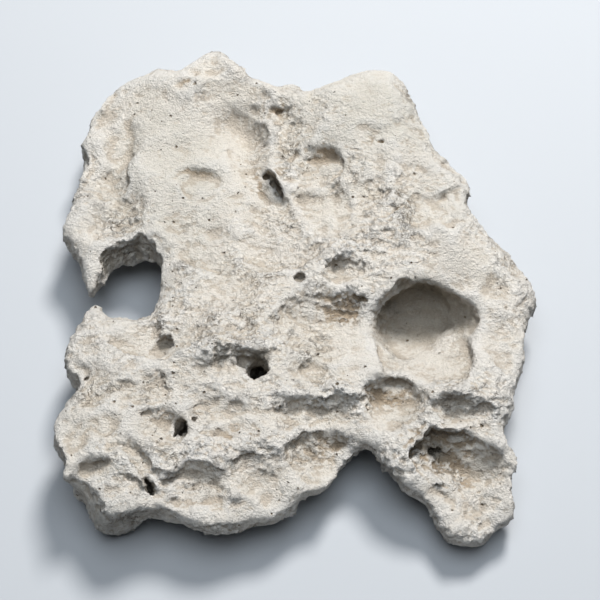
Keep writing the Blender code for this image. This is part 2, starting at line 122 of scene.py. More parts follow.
# A scallop is a shallow dish: its middle, width, length and depth, and how far its steep
# head is turned from +Y. Its floor rises away from the head until it meets the surface.
Scallop = namedtuple("Scallop", "x y wide long deep turn steep", defaults=(6.0,))
SCALLOPS = [Scallop(*row) for row in (
    # the middle bowl, and the small arch in front of it
    (9, -12, 42, 27, 2.2, 0, 4), (20, -6, 20, 13, 0.8, -8, 2.5), (0, -13, 21, 20, 1.4, 8, 3),
    (5, -36, 14, 14, 4.2, 0, 8), (5, -42, 24, 16, 1.6, 0, 3),
    # the bowl below the deep pit, the dark wall over the leg, and the leg
    (41, -48, 31, 24, 6.6, 0, 8), (72, -61, 27, 18, 2.2, -18, 2.6),
    (69, -75, 36, 24, 2.2, -8, 4.5), (80, -74, 16, 16, 1.6, -25, 4),
    (62, -90, 16, 14, 4.6, -14, 8), (69, -81, 6, 6, 1.4, 0), (76, -82, 5, 6, 1.3, 0),
    (78, -92, 10, 9, 1.4, -30),
    # the scoop that slopes to the bay, and the ledge wall
    (22, -64, 27, 24, 3.8, -4, 4.5), (8, -61, 44, 26, 4.2, 3, 2.8),
    (14, -57, 16, 14, 2, -14, 3), (-8, -54, 15, 14, 2.2, 14, 3),
    # the right edge
    (93, -13, 11, 11, 1.8, -15), (83, -42, 19, 15, 1.4, -30, 3), (90, -30, 14, 9, 1.2, -40),
    # the left shelf
    (-63, -44, 15, 12, 2, -15), (-77, -47, 16, 11, 2, 5), (-77, -56, 8, 6, 1.8, -8),
    (-81, -68, 8, 8, 1.8, 0), (-97, -55, 7, 12, 1.8, -30), (-90, -68, 12, 9, 1.6, 20),
    # the dish of the slit, and the shelf right of it
    (-60, -63, 27, 19, 3.2, -8, 4.5), (-27, -67, 22, 18, 2.8, 0, 4),
    (-28, -54, 13, 9, 1.8, -10), (-29, -45, 12, 9, 1.6, 10),
    # the diagonal ledge, and the scoops of the front edge
    (-71, -91, 25, 13, 3.2, -42), (-60, -95, 16, 10, 2.6, -44), (-44, -94, 29, 21, 3, 4, 7),
    (-18, -87, 22, 20, 2.6, -6, 4), (-2, -76, 16, 14, 2, 0), (-88, -82, 12, 10, 1.6, 20),
    (-76, -94, 22, 14, 2.4, 0, 4),
    # the left plane and its crescent, and the hollow under the peak
    (-48, 64, 25, 16, 3.6, -4, 8), (-42, 37, 21, 17, 1.6, 6, 4), (-31, 52, 13, 10, 1.1, 10),
    (-33, 93, 36, 26, 4.6, -32, 2.8), (-11, 99, 12, 9, 2.2, 10),
    # the back right, its crescent and its slit
    (6, 71, 22, 15, 2.4, -6, 5), (13, 73, 10, 8, 2.6, -18), (-2, 73, 9, 7, 2, 22),
    (2, 56, 10, 9, 1.8, 6), (34, 50, 17, 20, 2.6, -24, 3), (57, 45, 17, 15, 3.4, -4),
    (69, 49, 20, 9, 4.4, 42, 4),
    # the ridge over the middle bowl, and the back edge
    (19, 15, 17, 10, 3, 6, 4), (39, 24, 17, 11, 1.6, -6), (29, 103, 19, 24, 1.2, 0, 3),
    # the left column
    (-89, 69, 16, 13, 2.2, -14, 4), (-84, 51, 13, 12, 2.4, 0, 4), (-81, 39, 13, 11, 1.8, 0),
    (-95, 40, 9, 10, 1.4, 0), (-92, 100, 13, 20, 1.4, 0),
    # the middle, and the groove of its hole
    (-58, 18, 24, 22, 1.5, 0, 3), (-30, 7, 26, 22, 2, 8, 3), (-20, 28, 22, 16, 1.5, -6, 3),
    (-46, -11, 18, 17, 1.8, 4, 3), (-25, -15, 22, 14, 1.8, -6, 4), (-31, -36, 28, 13, 1.2, 8, 4),
    (-61, -25, 13, 13, 2.2, -10), (-78, -26, 19, 17, 1.4, 0, 3), (-40, -49, 16, 10, 1.6, -10),
    (82, 15, 18, 20, 1.4, -10, 3),  # right face
    (-85, 84, 46, 11, 2.6, -88, 4),  # crease along the left column
    (-11, 54, 38, 9, 2.2, -66, 5),  # foot of the ridge, by the slot
    (-67, -14, 28, 12, 2.4, -84, 4),  # left side of the middle
)]

# A swell is a soft rise, or a dip where its height is less than nothing: its middle, its
# radii across and along, its turn about Z and its height.
Swell = namedtuple("Swell", "x y across along turn height")
SWELLS = [Swell(*row) for row in (
    (-14, 88, 4, 22, 0, 2.6), (-4, 50, 5, 18, 25, 2),  # ridge down the middle of the back
    (43, 60, 4, 14, -4, 3.6),  # ridge at the back right
    (-36, -25, 17, 4, 0, 1.8),  # ledge over the middle hole
    (24, 26, 26, 6, 8, 1.2),  # ridge over the middle bowl
    (56, -34, 22, 10, 0, -2), (10, -27, 20, 8, 0, -1.6),  # fronts of the pit and the bowl
    (42, -38, 15, 5, 0, 3),  # shelf between the pit and the bowl below
    (70, -46, 12, 4, 0, 1.8),  # shelf over the dark wall
    (33, -10, 5, 15, 0, -2.4),  # between the middle bowl and the pit
    (-13, 59, 5.5, 11, 25, 6),  # floor of the slot
    (78, -10, 5, 8, 10, 2.5),  # floor of the pit's lobe
    (68, -66, 15, 6, -8, 2.6), (62, -81, 8, 3, -12, 1.4),  # heads of the leg's hollows
    (72, -51, 12, 4, -10, 2.4),  # foot of the dark wall over the leg
    (-48, 47, 10, 5, 0, -1.6), (-47, 60, 11, 9, 0, 3),  # left plane's crescent
    (7, 68, 9, 7, 0, 1.6), (-53, 115, 7, 6, 0, 2.2),  # small dishes at the back
    (-33, -28, 10, 5, 0, 4.8),  # left part of the middle hole's groove
    (-43, -89, 12, 3.5, 0, 1.2),  # head of the front scoops
)]

# A nudge shifts the stone sideways round a place: its radii, and how far right and back.
Nudge = namedtuple("Nudge", "x y across along right back")
NUDGES = [Nudge(*row) for row in (
    (57, 13, 20, 9, 0, -4.6), (42, 10, 8, 7, 1.5, -3.5),  # rim over the deep pit
    (72, -47, 16, 8, 0, -4),  # wall over the leg
    (30, -79, 9, 9, -2.5, 4.5), (19, -78, 8, 8, -3, 0),  # top and left side of the bay
    (-42, -85, 22, 8, 0, -3),  # ledge over the front scoops
    (-17, -22, 11, 6, 0, -4),  # ledge over the middle hole
    (82, 35, 26, 34, -1.6, 0),  # right edge
    (-104, -56, 14, 34, 1.6, 0), (-92, 92, 20, 34, 1.2, -0.8),  # left edges
    (-86, -89, 20, 10, 1.5, 7.5),  # top of the wall at the front left
)]

# A spot is a place, its radii and its strength, for what changes from place to place.
Spot = namedtuple("Spot", "x y across along strength")
KEPT_HOLLOWS = [Spot(*row) for row in (  # not filled
    (57, -10, 34, 30, 1), (-17, -32, 7, 7, 1), (-86, -2, 24, 20, 1),
)]
SOFT_EDGES = [Spot(*row) for row in (
    (56, -36, 34, 14, 1), (30, -20, 8, 16, 0.8), (77, -26, 10, 13, 1), (-46, 50, 12, 5, 1),
    (-32, 71, 8, 10, 1), (-68, -64, 8, 7, 1), (-34, -25, 11, 5, 0.9),
)]
CALM = [Spot(*row) for row in (
    (-55, 85, 34, 40, 1),  # plane at the back left
    (55, -10, 24, 22, 0.9), (60, -32, 34, 14, 0.7),  # inside the deep pit, and in front
    (30, 105, 26, 20, 0.6), (80, 10, 18, 26, 0.6),  # back right and right faces
)]
CRUMBLY = [Spot(*row) for row in (
    (22, 20, 20, 10, 1), (44, 36, 14, 18, 0.8),  # ridge over the middle bowl
    (-5, 70, 7, 30, 0.6),  # rim of the slot
    (-26, -24, 30, 7, 1),  # ledge over the middle hole
    (8, -46, 32, 9, 1), (72, -48, 24, 8, 1),  # ledge walls
    (44, -66, 10, 16, 0.8),  # bay's right wall
    (-66, -80, 20, 12, 0.8), (-36, -72, 30, 7, 0.8),  # diagonal ledge, and right of it
    (-62, -4, 14, 14, 0.8), (-84, 44, 14, 14, 0.8),  # around the left hole
    (24, -2, 14, 8, 0.9),  # head of the middle bowl
)]
SHADED_PITS = [Spot(*row) for row in (  # painted shade inside the pits and holes
    (57, 2, 21, 13, 1), (74, -4, 8, 9, 0.7), (-17, -31, 5.5, 6, 1.2), (-15, 62, 4, 7, 0.8),
    (-51, -61, 3.5, 7, 1.1), (-65, -87, 3.5, 5, 1.1), (59, -67, 5, 3.5, 1), (0, 8, 3, 3, 0.9),
    (-61, -20, 4, 4, 0.6),
)]
STAINS = [Spot(*row) for row in (  # brown, at the heads of hollows
    (22, -3, 15, 7, 1), (40, -44, 13, 5, 0.8), (60, -68, 17, 8, 1.1), (58, -64, 6, 4, 1),
    (70, -80, 10, 6, 0.5), (-24, -66, 12, 7, 0.6), (-41, -97, 12, 7, 0.4),
    (-55, -57, 12, 4, 0.4), (14, -66, 20, 9, 0.5), (10, 76, 12, 6, 0.6), (-16, 64, 7, 9, 0.9),
    (-48, 70, 11, 3, 0.5), (-53, 117, 6, 5, 0.7), (-11, 102, 6, 4, 0.7), (38, 77, 6, 4, 0.7),
)]
PAINTED_SHADE = [Spot(*row) for row in (  # painted shade: dull grey on the back and on walls that face the front, which lie in shade
    (-62, 70, 34, 46, 1), (34, 92, 36, 30, 1.1), (60, 50, 26, 26, 0.7), (-52, 30, 26, 20, 0.6),
    (46, -54, 16, 10, 0.5), (-84, -106, 26, 12, 1.2), (-30, -112, 40, 8, 1),
)]
# How far the foot of a front wall is drawn out, in millimetres.
WALL_FEET = [Spot(-78, -96, 20, 30, 4.6), Spot(-30, -100, 26, 40, 1)]
WALL_REACH = (84, 96)  # towards -Y
WALL_HEIGHT = 28

FILL_SLOPE = 0.18  # how steeply a filled floor rises to the front
HEAD_SLOPE = 0.12  # the same towards the back
SIDE_SLOPE = 0.55  # and sideways
FILL_MOST = 25.0
GRID_STEP = 1.0
GRID_REACH = (116, 128)  # half the grid's size
OPEN_AIR = -1000.0  # height where there is no stone

SCALLOP_SIZES = (4.0, 14.0)  # width of a scattered scallop
SCALLOP_COUNT = 460
SCALLOP_RARITY = 1.6  # the higher, the rarer the wide ones
SCALLOP_DEPTH = (0.07, 0.17)  # times its width
SCALLOP_LENGTH = (0.5, 0.9)  # times its width
SCALLOP_TURN = 35
SCALLOP_SEED = 11
TOP_SLOPE = 0.3  # a normal higher than this looks up
FOOT_STEEPNESS = 1.3
FOOT_DEPTH = 0.35  # of a scallop's depth, near its foot
FRONT_DIP = 0.45  # of a scallop's depth, where its floor runs out
DIP_WIDTH, DIP_LENGTH = 0.8, 0.5
LIP = 0.13  # of a scallop's depth, raised above its head
LIP_WIDTH = 0.22
SWAYS = ((14.0, 2.0), (5.0, 1.0), (2.4, 0.5))  # size and reach of the bends in an outline
SOFT_STEPS = 60
KEPT_CORE, SOFT_CORE = 1.3, 1.4  # over 1, so that a spot's middle is at full strength

WELD = 1e-6
SLIVER = 4e-6  # an edge shorter than this is closed up
BASE_VOXEL = 0.0010
BASE_SMOOTHING = 2
CUTTER_BUMPS = ((1.6, 0.16), (4.0, 0.07), (9.0, 0.03))  # frequency; height in radii
CUTTER_VARIETY = 7
RAY_START = 0.2
COLUMN_REACH = (0.25, 0.85)  # share of a column's height that a scallop moves
FOOT_LEVEL = 0.0004  # lower than this, the stone is a worn foot
HIDDEN_SLOPE = -0.25  # a normal lower than this looks at the floor
SEEN_WEIGHT = 0.3  # how readily the rest is thinned out
FADE_LEVEL = 0.003  # weathering fades out towards the feet
CALMING = 0.75  # how much weathering a calm spot takes away
SCALLOP_CALMING = 0.85
PORE_CALMING = 0.4

# How crumbly the stone is: everywhere, in patches, where steep, and at the crumbly spots.
CRUMBLY_ALL, CRUMBLY_PATCHES, CRUMBLY_STEEP, CRUMBLY_SPOTS = 0.15, 0.60, 0.45, 0.60
LEAST_CRUMBLY = 0.06
CRUMBLY_PATCH = 0.018  # size of a patch
STEEP_START, STEEP_RATE = 1.15, 1.2  # steepness, less so much for each bit that looks up
CUPPED = (0.25, 0.35)  # everywhere, and more with the crumbs
SMALL_CUPPED = (0.15, 0.55)
RUBBED = 0.45
PORE_PATCH = 0.016
PORE_LEVEL, PORE_STEEPNESS = 0.16, 2.2  # where a patch starts, and how fast it fills
PORES_IN_STAINS = 0.5
LEAST_POROUS = 0.006

# The relief that the materials read: smoothing steps, and a full-strength crest.
RELIEFS = {
    "fine_relief": (8, 0.00016),
    "relief": (45, 0.0006),
    "broad_relief": (220, 0.0016),
}

# The weathering. A shape is what the squared distance from a cell's middle is multiplied
# by, and what is added. A noise is its detail, its roughness and its distortion.
CUP_SHAPE = (1.9, -0.5)
STEP_SHAPE = (0.9, -0.25)
STEP_STRETCH = (0.6, 1.0, 1.0)
CUP_SWAY, SMALL_CUP_SWAY, CRUMB_SWAY = 1.4, 1.5, 1.1
SMALL_CUP = 0.5  # times a cup's size
BUMP_NOISE = (3.0, 0.62, 0.6)
GRAIN_NOISE = (2.0, 0.6)
GRAINY = (0.65, 0.40)  # with the crumbs, and everywhere
PORE_RARITY = 3.0  # the higher, the rarer the large ones
PORE_STRETCH = ((0.7, 0.7, 1.2), (1.5, 1.1, 2.2))  # least and most: across, along, deep

# The limestone's patterns: their sizes, and how much each scale of relief counts.
FINE_GRAIN, COARSE_GRAIN, LINING_GRAIN = 0.0009, 0.0024, 0.0007
SPECK_SPACING, SPECK_SHARE = 0.0042, 0.28
BUMP_HEIGHT, LINING_BUMP_HEIGHT = 0.0013, 0.0002
COARSE_BUMP, SPECK_BUMP = 1.5, -2.2  # beside the fine grain's bump
HOLLOW_BROAD, HOLLOW_RELIEF = -0.55, -0.45
CREST = 0.35
STAIN_MOTTLE, STAIN_GRAIN = (0.55, -0.34), (0.6, -0.30)
STAIN_FINE, STAIN_RELIEF = -0.30, -0.18
# painted shade in the broad hollows, beside the shaded pits
BROAD_PIT_SHADE = -0.25
# how much browner the cracks are
CRACK_BROWNING = 0.6
SMOOTHEST = 0.06  # less than the stone's roughness
SHINE, LINING_SHINE, FLOOR_SHINE = 0.25, 0.1, 0.2
FLOOR_ROUGHNESS = 0.85
GRAIN_SWAY, SPECK_SWAY = (2.2, 0.6), (0.35, 3.0)  # amount and scale
STEP_BUMP, CRACK_BUMP = 1.2, -1.1  # beside the noise of the same grain
SPECK_CORE = 0.55  # share of a speck that is fully dark

# Noises of the limestone: scale, detail, roughness and distortion.
NOISES = {
    "grain": (1.0, 4.0, 0.7),
    "mottle": (0.09, 5.0, 0.6, 0.4),
    "crack": (0.24, 4.0, 0.72),
    "crack patches": (0.17,),
    "speck patches": (0.12,),
}

# A blend is where a pattern starts to show and where it is full, and its least and most
# strength there. A layer's breaks let the stone under it show through.
BLENDS = {
    "warm": (0.38, 0.64),
    "silt": (0.0, 1.40, 0.0, 0.12),
    "silt breaks": (0.20, 0.75, 0.5, 1.0),
    "dust": (0.0, 1.4, 0.0, 0.5),
    "dust breaks": (0.32, 0.62, 0.35, 1.0),
    # painted shade on the back and the front wall, in broken patches
    "film": (0.0, 1.0, 0.0, 0.45),
    "film breaks": (0.36, 0.64, 0.6, 1.0),
    "stain": (0.32, 1.15, 0.0, 0.72),
    # browner in the fine hollows
    "fine hollow browning": (0.25, 1.0, 0.0, 0.30),
    # painted shade deep in the pits and holes
    "dirt": (0.25, 0.9, 0.0, 0.85),
    "light": (0.25, 0.75, -0.09, 0.09),
    "roughness": (0.2, 0.8),
    "lining stain": (0.3, 0.7, 0.0, 0.5),
    "crack": (0.0, 0.020, 1.0, 0.0),
    "crack patches": (0.52, 0.66),
    "crack crumbs": (0.05, 0.7),
    "speck patches": (0.40, 0.66, 0.25, 1.8),
    "speck size": (0.0, 1.0, 0.08, 0.19),
}


# Settings


def length(name, description, default):
    return FloatProperty(
        name=name, description=description, default=default, min=0.0001, max=10.0,
        unit="LENGTH",
    )


def angle(name, description, degrees):
    return FloatProperty(
        name=name, description=description, default=math.radians(degrees), subtype="ANGLE",
        unit="ROTATION",
    )


def power(name, description, watts):
    return FloatProperty(name=name, description=description, default=watts, min=0.0, unit="POWER")


def color(name, description, *default):
    return FloatVectorProperty(
        name=name, description=description, default=(*default, 1.0), size=4,
        subtype="COLOR", min=0.0, max=1.0,
    )


class StoneSettings(bpy.types.PropertyGroup):
    carving_voxel: length("Carving grid", "Grid of the carved stone's surface", 0.0007)
    triangles: IntProperty(
        name="Triangles", description="Triangles left before the pores are cut",
        default=160000, min=20000, max=190000,
    )
    cup_size: length("Cup size", "Width of the small dissolved cups", 0.0080)
    cup_depth: length("Cup depth", "Depth of the small dissolved cups", 0.0012)
    crumb_size: length("Crumb size", "Width of the crumbs on ridges and ledges", 0.0034)
    crumb_depth: length("Crumb depth", "Height of the crumbs on ridges and ledges", 0.0011)
    bump_depth: length("Bump depth", "Height of the bumps between the crumbs", 0.00025)
    grain_size: length("Grain size", "Width of the stone's grain", 0.0013)
    grain_depth: length("Grain depth", "Height of the stone's grain", 0.00042)


class PoreSettings(bpy.types.PropertyGroup):
    spacing: length("Spacing", "Least distance between two pores", 0.0022)
    density: FloatProperty(
        name="Density", description="Most pores per square metre",
        default=17000.0, min=0.0, max=200000.0,
    )
    smallest: length("Smallest", "Radius of the smallest pore", 0.00022)
    largest: length("Largest", "Radius of the largest pore", 0.00052)
    seed: IntProperty(name="Seed", description="Which scatter of pores", default=4)


class LimestoneSettings(bpy.types.PropertyGroup):
    chalk: color("Chalk", "Colour of clean, dry stone", 0.722, 0.674, 0.606)
    warm_chalk: color("Warm chalk", "Colour of the warmer patches", 0.70, 0.65, 0.575)
    # painted shade: the dull grey of the back and the front wall
    film: color("Painted shade", "Colour of the dull film on the stone's back", 0.52, 0.505, 0.45)
    dust: color("Dust", "Colour of rubbed crests", 0.77, 0.765, 0.75)
    silt: color("Silt", "Colour of the silt in the hollows", 0.61, 0.545, 0.445)
    stain: color("Stain", "Colour of the stains at the hollows' heads", 0.33, 0.235, 0.14)
    # painted shade: the dark grey-brown deep in the pits and holes
    dirt: color("Pit shade", "Colour of the dirt deep in the pits", 0.31, 0.275, 0.225)
    # painted shade: the dark brown inside the pores and in the specks
    lining: color("Pore lining", "Colour inside the pores", 0.20, 0.155, 0.105)
    roughness: FloatProperty(
        name="Roughness", description="Roughness of dry stone",
        default=0.94, min=0.0, max=1.0, subtype="FACTOR",
    )


class StudioSettings(bpy.types.PropertyGroup):
    floor_color: color("Floor", "Colour of the floor", 0.47, 0.49, 0.515)
    key_azimuth: angle("Key azimuth", "Turn of the key light from +Y towards +X", 20)
    key_elevation: angle("Key elevation", "Height of the key light over the floor", 56)
    key_power: power("Key power", "Power of the key light", 21.6)
    key_size: length("Key size", "Width of the key light", 0.36)
    fill_power: power("Fill power", "Power of the wide light overhead", 12.5)
    fill_size: length("Fill size", "Width of the wide light overhead", 1.1)
    haze: FloatProperty(
        name="Haze", description="Strength of the light from all round",
        default=0.045, min=0.0,
    )
    fill_color: color("Fill colour", "Colour of the light overhead and all round", 0.86, 0.93, 1)
    camera_elevation: angle("Camera elevation", "Height of the camera over the floor", 62)
    camera_distance: length("Camera distance", "From the camera to its target", 0.6492)
    camera_half_angle: angle("Half angle of view", "Half of the camera's angle of view", 12)


SETTINGS = {
    "holey_stone": StoneSettings,
    "holey_pores": PoreSettings,
    "holey_limestone": LimestoneSettings,
    "holey_studio": StudioSettings,
}


# Meshes


def link(obj):
    bpy.context.scene.collection.objects.link(obj)
    return obj


def new_mesh(bm, name):
    mesh = bpy.data.meshes.new(name)
    bm.to_mesh(mesh)
    bm.free()
    return mesh


def merged_copy(node, name):
    """The node's mesh as one closed skin, in an object of its own."""
    bm = bmesh.new()
    bm.from_mesh(node.data)
    bmesh.ops.remove_doubles(bm, verts=bm.verts, dist=WELD)
    return link(bpy.data.objects.new(name, new_mesh(bm, name)))


def apply_modifiers(obj):
    """Makes the evaluated mesh the object's own."""
    bpy.context.view_layer.update()
    graph = bpy.context.evaluated_depsgraph_get()
    mesh = bpy.data.meshes.new_from_object(obj.evaluated_get(graph))
    obj.modifiers.clear()
    obj.data = mesh


def add_modifier(obj, kind, **settings):
    modifier = obj.modifiers.new(kind.lower(), kind)
    for name, value in settings.items():
        setattr(modifier, name, value)


def read_vectors(items, name):
    found = np.empty(len(items) * 3, np.float32)
    items.foreach_get(name, found)
    return found.reshape(-1, 3).astype(np.float64)


def coordinates(mesh):
    return read_vectors(mesh.vertices, "co")


def normals(mesh):
    return read_vectors(mesh.vertex_normals, "vector")


def set_coordinates(mesh, points):
    mesh.vertices.foreach_set("co", points.astype(np.float32).ravel())
    mesh.update()


def edge_ends(mesh):
    ends = np.empty(len(mesh.edges) * 2, np.int32)
    mesh.edges.foreach_get("vertices", ends)
    return ends.reshape(-1, 2).T


def surface_tree(mesh):
    points = [vertex.co for vertex in mesh.vertices]
    return BVHTree.FromPolygons(points, [tuple(face.vertices) for face in mesh.polygons])


def height_at(tree, x, y):
    """The height of the surface seen from straight above, or None beside the stone."""
    hit = tree.ray_cast(Vector((x, y, RAY_START)), Vector((0, 0, -1)))[0]
    return None if hit is None else hit.z


def store(mesh, name, values):
    """Keeps one number for each vertex, for the materials and the node trees."""
    layer = mesh.attributes.new(name, "FLOAT", "POINT")
    layer.data.foreach_set("value", np.asarray(values, np.float32))


def plan(points):
    """X and Y in the plan's millimetres."""
    return points[:, 0] / MM - PLAN_ORIGIN.x, points[:, 1] / MM - PLAN_ORIGIN.y


def spot_field(points, spots):
    """The strongest spot at each place, fading out smoothly."""
    x, y = plan(points)
    field = np.zeros(len(points))
    for spot in spots:
        reach = ((x - spot.x) / spot.across) ** 2 + ((y - spot.y) / spot.along) ** 2
        field = np.maximum(field, spot.strength * np.exp(-reach))
    return field


def smoothed(points, ends, steps):
    """The points moved halfway to the middle of their neighbours, so many times."""
    first, second = ends
    size = len(points)
    count = np.bincount(first, minlength=size) + np.bincount(second, minlength=size)
    for _ in range(steps):
        total = np.empty_like(points)
        for axis, column in enumerate(points.T):
            forth = np.bincount(first, column[second], size)
            total[:, axis] = forth + np.bincount(second, column[first], size)
        points = (points + total / count[:, None]) / 2
    return points


def store_relief(mesh):
    """How far each point stands out of the smoothed stone at three scales, -1 to 1."""
    start = smooth = coordinates(mesh)
    outward, ends = normals(mesh), edge_ends(mesh)
    done = 0
    for name, (steps, height) in RELIEFS.items():
        smooth = smoothed(smooth, ends, steps - done)
        done = steps
        stand = ((start - smooth) * outward).sum(axis=1) / height
        store(mesh, name, np.clip(stand, -1, 1))


# Carving


def smooth_step(value, low, high):
    share = np.clip((value - low) / (high - low), 0, 1)
    return share * share * (3 - 2 * share)


def bent_plan(points):
    """The plan's X and Y, bent a little so that no outline is even."""
    x, y = plan(points)
    for size, reach in SWAYS:
        scaled = [Vector(point) / (size * MM) for point in points]
        x += reach * np.array([noise.noise(place) for place in scaled])
        y += reach * np.array([noise.noise(place + Vector((7, 3, 5))) for place in scaled])
    return x, y


def turned_with(form, x, y):
    """Places seen from a form's middle, to its right and towards its head."""
    turn = math.radians(form.turn)
    right, back = x - form.x, y - form.y
    return (
        right * math.cos(turn) + back * math.sin(turn),
        back * math.cos(turn) - right * math.sin(turn),
    )


def dish(scallop, x, y):
    """A scallop's depth at places in the plan, and the lip that stands above its head."""
    right, back = turned_with(scallop, x, y)
    across, along = right / (scallop.wide / 2), back / (scallop.long / 2)
    radius = np.hypot(across, along)
    headward = (np.clip(along, -1, 1) + 1) / 2
    steepness = FOOT_STEEPNESS + (scallop.steep - FOOT_STEEPNESS) * headward
    depth = np.clip(1 - radius ** steepness, 0, 1) * (FOOT_DEPTH + (1 - FOOT_DEPTH) * headward)
    dip = np.exp(-((across / DIP_WIDTH) ** 2) - ((along + 1) / DIP_LENGTH) ** 2)
    depth += FRONT_DIP * dip
    lip = LIP * headward ** 2 * np.exp(-(((radius - 1) / LIP_WIDTH) ** 2))
    return depth * scallop.deep, np.where(radius > 1, lip, 0) * scallop.deep


def deepest(scallops, x, y):
    """All the scallops together: each place is as low as the deepest one there."""
    depth = np.zeros(len(x))
    lip = np.zeros(len(x))
    for scallop in scallops:
        reach = max(scallop.wide, scallop.long)
        near = np.flatnonzero((abs(x - scallop.x) < reach) & (abs(y - scallop.y) < reach))
        one_depth, one_lip = dish(scallop, x[near], y[near])
        depth[near] = np.maximum(depth[near], one_depth)
        lip[near] = np.maximum(lip[near], one_lip)
    return depth - np.where(depth > 0, 0, lip)


def swell_height(x, y):
    height = np.zeros(len(x))
    for swell in SWELLS:
        right, back = turned_with(swell, x, y)
        across, along = right / swell.across, back / swell.along
        height += swell.height * np.exp(-(across ** 2) - along ** 2)
    return height


def scattered_scallops(x, y, upward):
    """Small dishes all over the top, shallower where the stone is calm."""
    chance = np.random.default_rng(SCALLOP_SEED)
    top = np.flatnonzero(upward > TOP_SLOPE)
    places = np.stack([x[top], y[top], np.zeros(len(top))], axis=1) * MM
    calm = spot_field(places + np.array(PLAN_ORIGIN) * MM, CALM)
    smallest, largest = SCALLOP_SIZES
    scallops = []
    for _ in range(SCALLOP_COUNT):
        pick = chance.integers(len(top))
        wide = smallest + (largest - smallest) * chance.random() ** SCALLOP_RARITY
        deep = wide * chance.uniform(*SCALLOP_DEPTH)
        turn = chance.uniform(-SCALLOP_TURN, SCALLOP_TURN)
        long = wide * chance.uniform(*SCALLOP_LENGTH)
        deep *= 1 - SCALLOP_CALMING * calm[pick]
        scallops.append(Scallop(x[top[pick]], y[top[pick]], wide, long, deep, turn))
    return scallops


def column_shares(mesh):
    """How much of a change in height each point takes: all on top, none underneath."""
    tree = surface_tree(mesh)
    shares = []
    for x, y, z in (vertex.co for vertex in mesh.vertices):
        top = height_at(tree, x, y)
        shares.append(z / max(z if top is None else top, MM))
    return smooth_step(np.array(shares), *COLUMN_REACH)


def sweep(height, slope):
    """No lower than any earlier row, less the slope times the way back to it."""
    raised = height.copy()
    for row in range(1, len(raised)):
        before = raised[row - 1]
        side = np.maximum(np.roll(before, 1), np.roll(before, -1)) - SIDE_SLOPE * GRID_STEP
        raised[row] = np.maximum(raised[row], np.maximum(before - slope * GRID_STEP, side))
    return raised


def blurred(grid):
    for axis in (0, 1, 0, 1):
        grid = (np.roll(grid, 1, axis) + grid + np.roll(grid, -1, axis)) / 3
    return grid


def fill_floors(mesh):
    """Raises the floors of the frame's hollows, so that each rises evenly to its front."""
    tree = surface_tree(mesh)
    half_x, half_y = GRID_REACH
    across = np.arange(-half_x, half_x + GRID_STEP, GRID_STEP)
    along = np.arange(-half_y, half_y + GRID_STEP, GRID_STEP)
    height = np.full((len(along), len(across)), OPEN_AIR)
    for row, y in enumerate(along):
        for column, x in enumerate(across):
            top = height_at(tree, x * MM, y * MM)
            if top is not None:
                height[row, column] = top / MM
    filled = np.minimum(sweep(height, FILL_SLOPE), sweep(height[::-1], HEAD_SLOPE)[::-1])
    rise = np.where(height > 0, filled - height, 0)
    rise = blurred(FILL_MOST * np.tanh(rise / FILL_MOST))
    points = coordinates(mesh)
    column = np.clip((points[:, 0] / MM + half_x) / GRID_STEP, 0, len(across) - 1.001)
    row = np.clip((points[:, 1] / MM + half_y) / GRID_STEP, 0, len(along) - 1.001)
    left, low = column.astype(int), row.astype(int)
    right_share, high_share = column - left, row - low
    near = sum(
        rise[low + up, left + on] * abs(1 - on - right_share) * abs(1 - up - high_share)
        for up in (0, 1) for on in (0, 1)
    )
    near *= 1 - np.clip(KEPT_CORE * spot_field(points, KEPT_HOLLOWS), 0, 1)
    points[:, 2] += near * MM * column_shares(mesh)
    set_coordinates(mesh, points)


def draw_out_wall(mesh):
    """Draws the foot of the front wall out, so that more of the wall is seen."""
    points = coordinates(mesh)
    push = spot_field(points, WALL_FEET) * smooth_step(-plan(points)[1], *WALL_REACH)
    height = points[:, 2] / MM
    points[:, 1] -= push * MM * np.clip(1 - height / WALL_HEIGHT, 0, 1)
    set_coordinates(mesh, points)


def nudge(mesh):
    points = coordinates(mesh)
    x, y = plan(points)
    for one in NUDGES:
        share = np.exp(-((x - one.x) / one.across) ** 2 - ((y - one.y) / one.along) ** 2)
        points[:, 0] += share * one.right * MM
        points[:, 1] += share * one.back * MM
    set_coordinates(mesh, points)


def press_scallops(mesh):
    """Lowers the top of the stone into its dishes, and raises its swells."""
    points = coordinates(mesh)
    x, y = bent_plan(points)
    named = deepest(SCALLOPS, x, y)
    scattered = deepest(scattered_scallops(x, y, normals(mesh)[:, 2]), x, y)
    rise = swell_height(x, y) - named - scattered
    points[:, 2] += rise * MM * column_shares(mesh)
    set_coordinates(mesh, points)


def pock_cuts(mesh):
    """A cut for each pock, at the height of the surface there."""
    tree = surface_tree(mesh)
    cuts = []
    for x, y, wide, long, deep, lean, turn in POCKS:
        place = (Vector((x, y, 0)) + PLAN_ORIGIN) * MM
        height = height_at(tree, place.x, place.y) / MM - deep / 4
        cuts.append(Cut(x, y, height, wide, long, 1.5 * deep, lean, turn))
    return cuts


def add_cutter(cut, collection, number):
    """A rough ellipsoid."""
    radii = Vector((cut.wide, cut.long, cut.high)) / 2
    turn = Euler((0, 0, math.radians(cut.turn))).to_matrix()
    turn = turn @ Euler((math.radians(cut.lean), 0, 0)).to_matrix()
    place = Vector((cut.x, cut.y, cut.z)) + PLAN_ORIGIN
    bm = bmesh.new()
    bmesh.ops.create_icosphere(bm, subdivisions=5, radius=1)
    offset = place / CUTTER_VARIETY
    for vertex in bm.verts:
        bump = 1.0
        for frequency, height in CUTTER_BUMPS:
            bump += height * noise.noise(vertex.co * frequency + offset)
        vertex.co = Vector(a * b for a, b in zip(vertex.co * bump, radii)) * MM
    mesh = new_mesh(bm, f"cut {number}")
    mesh.transform(Matrix.Translation(place * MM) @ turn.to_4x4())
    collection.objects.link(bpy.data.objects.new(mesh.name, mesh))


